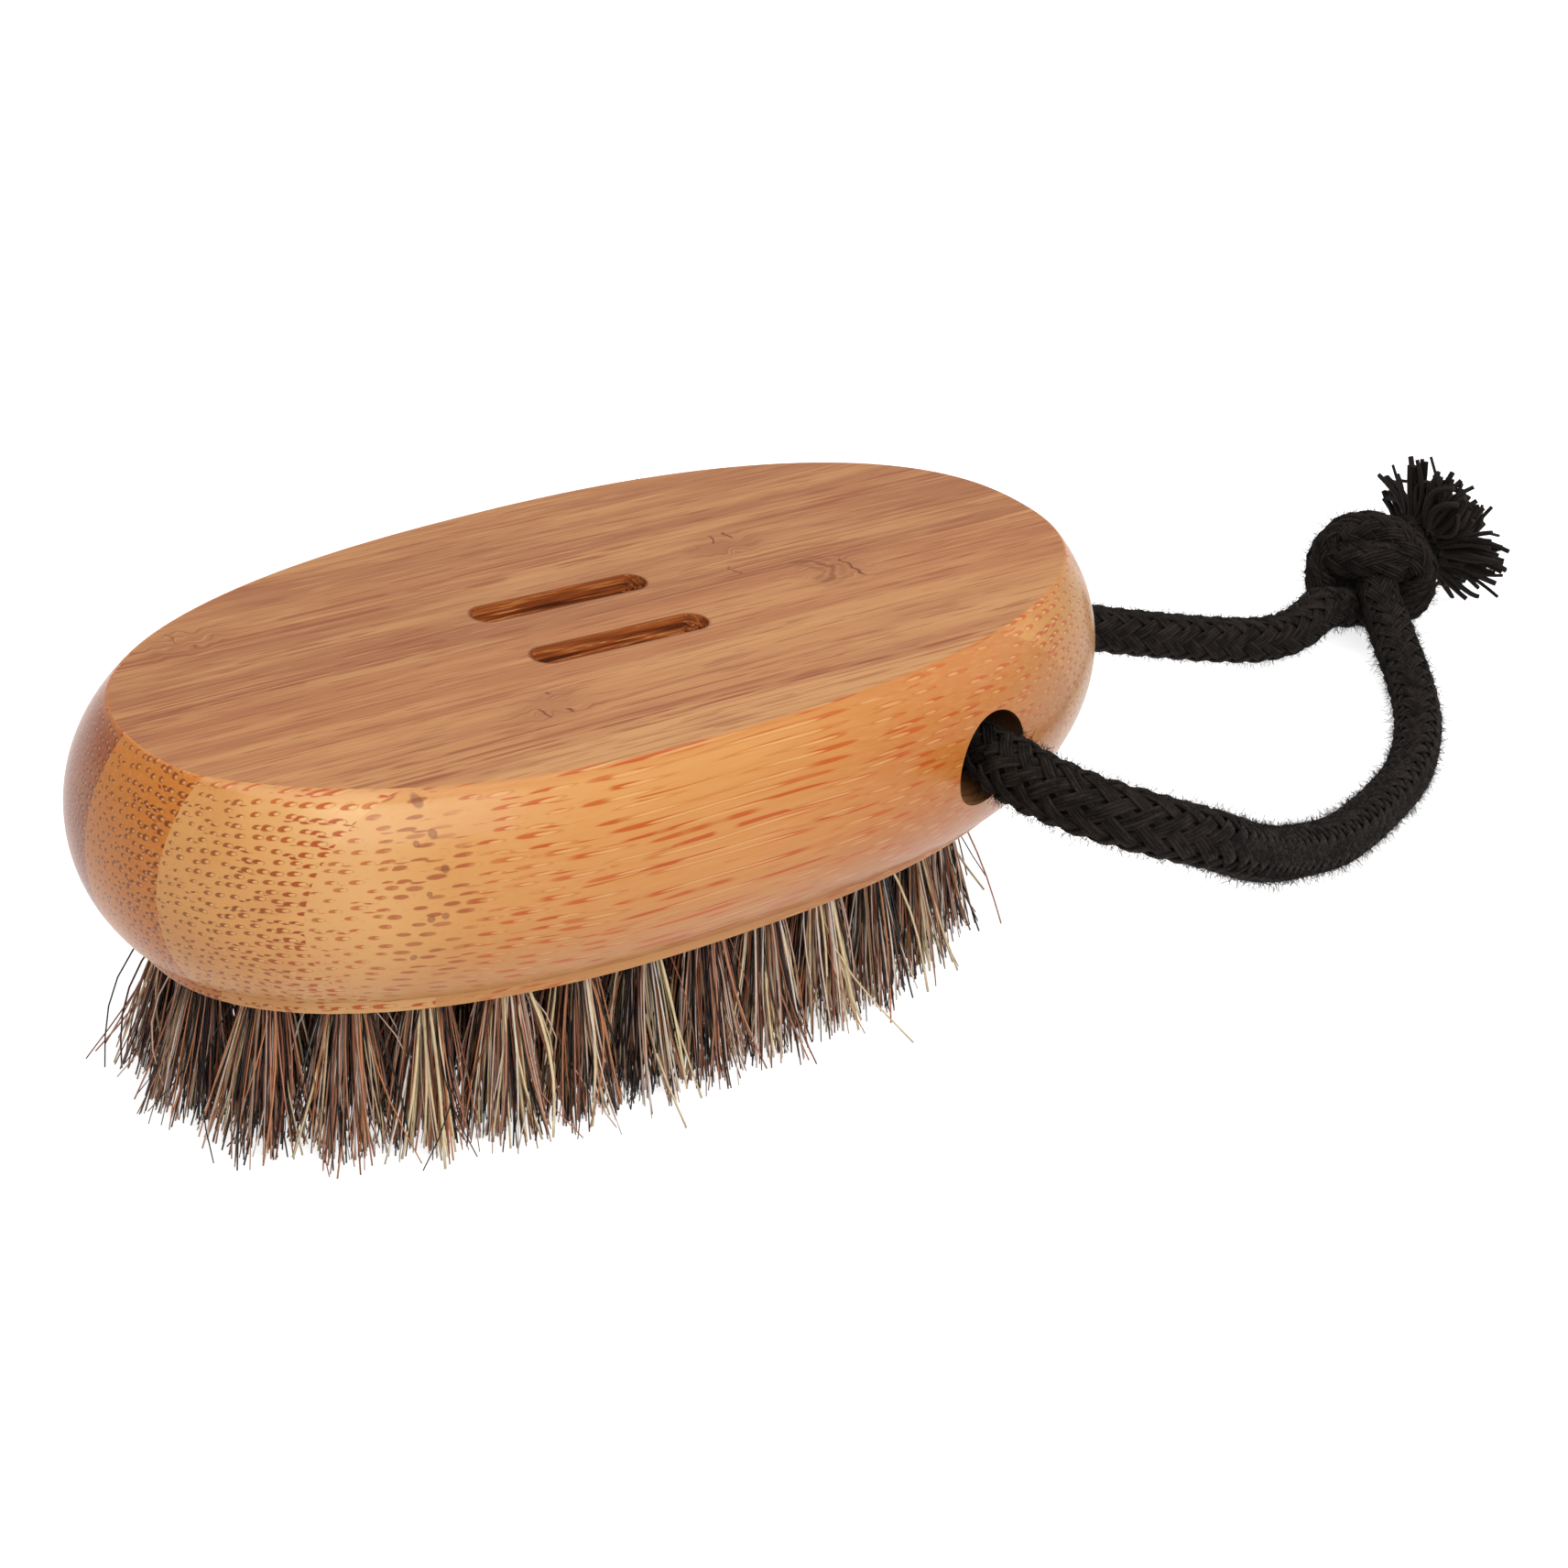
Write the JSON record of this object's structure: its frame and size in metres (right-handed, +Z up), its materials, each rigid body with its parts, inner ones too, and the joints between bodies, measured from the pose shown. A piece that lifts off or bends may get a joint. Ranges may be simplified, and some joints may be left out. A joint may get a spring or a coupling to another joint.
{
  "type": "nail brush",
  "caption": "Oval hand nail brush: laminated bamboo block with bulging sides, bristle tufts set in drilled holes below, and a knotted black cotton cord loop through a cross bore.",
  "frame": {"origin": "centre of the block's footprint, at the level of the bristle tips", "axes": "+X along the block towards the end with the cord's bore, +Y across the block along the bore, +Z up out of the flat top face"},
  "size_m": [0.2046, 0.0886, 0.0396],
  "materials": {
    "bamboo": "satin lacquer, carbonised side-pressed bamboo",
    "bristle": "mixed natural hair, black, brown, chestnut and cream",
    "cotton_cord": "plaited matte cotton with fine fuzz"
  },
  "bodies": {
    "brush": {"bamboo_strip_1": "bamboo", "bamboo_strip_2": "bamboo", "bamboo_strip_3": "bamboo", "bamboo_strip_4": "bamboo", "bamboo_strip_5": "bamboo", "bamboo_strip_6": "bamboo", "tuft_centre_01": "bristle", "tuft_centre_02": "bristle", "tuft_centre_03": "bristle", "tuft_centre_04": "bristle", "tuft_centre_05": "bristle", "tuft_centre_06": "bristle", "tuft_inner_01": "bristle", "tuft_inner_02": "bristle", "tuft_inner_03": "bristle", "tuft_inner_04": "bristle", "tuft_inner_05": "bristle", "tuft_inner_06": "bristle", "tuft_inner_07": "bristle", "tuft_inner_08": "bristle", "tuft_inner_09": "bristle", "tuft_inner_10": "bristle", "tuft_inner_11": "bristle", "tuft_inner_12": "bristle", "tuft_inner_13": "bristle", "tuft_inner_14": "bristle", "tuft_inner_15": "bristle", "tuft_inner_16": "bristle", "tuft_outer_01": "bristle", "tuft_outer_02": "bristle", "tuft_outer_03": "bristle", "tuft_outer_04": "bristle", "tuft_outer_05": "bristle", "tuft_outer_06": "bristle", "tuft_outer_07": "bristle", "tuft_outer_08": "bristle", "tuft_outer_09": "bristle", "tuft_outer_10": "bristle", "tuft_outer_11": "bristle", "tuft_outer_12": "bristle", "tuft_outer_13": "bristle", "tuft_outer_14": "bristle", "tuft_outer_15": "bristle", "tuft_outer_16": "bristle", "tuft_outer_17": "bristle", "tuft_outer_18": "bristle", "tuft_outer_19": "bristle", "tuft_outer_20": "bristle", "tuft_outer_21": "bristle", "tuft_outer_22": "bristle", "tuft_outer_23": "bristle", "tuft_outer_24": "bristle", "tuft_outer_25": "bristle", "tuft_outer_26": "bristle", "tuft_outer_27": "bristle"},
    "cord_loop": {"cord_in_bore": "cotton_cord", "cord_front_run": "cotton_cord", "cord_back_run": "cotton_cord", "cord_knot": "cotton_cord", "cord_frayed_ends": "cotton_cord"}
  },
  "joints": [
    {"name": "cord_swing", "type": "hinge", "parent": "brush", "child": "cord_loop", "pos_m": [0.02755, 0, 0.02818], "axis": [0, -1, 0], "range_deg": [-75, 150]}
  ]
}
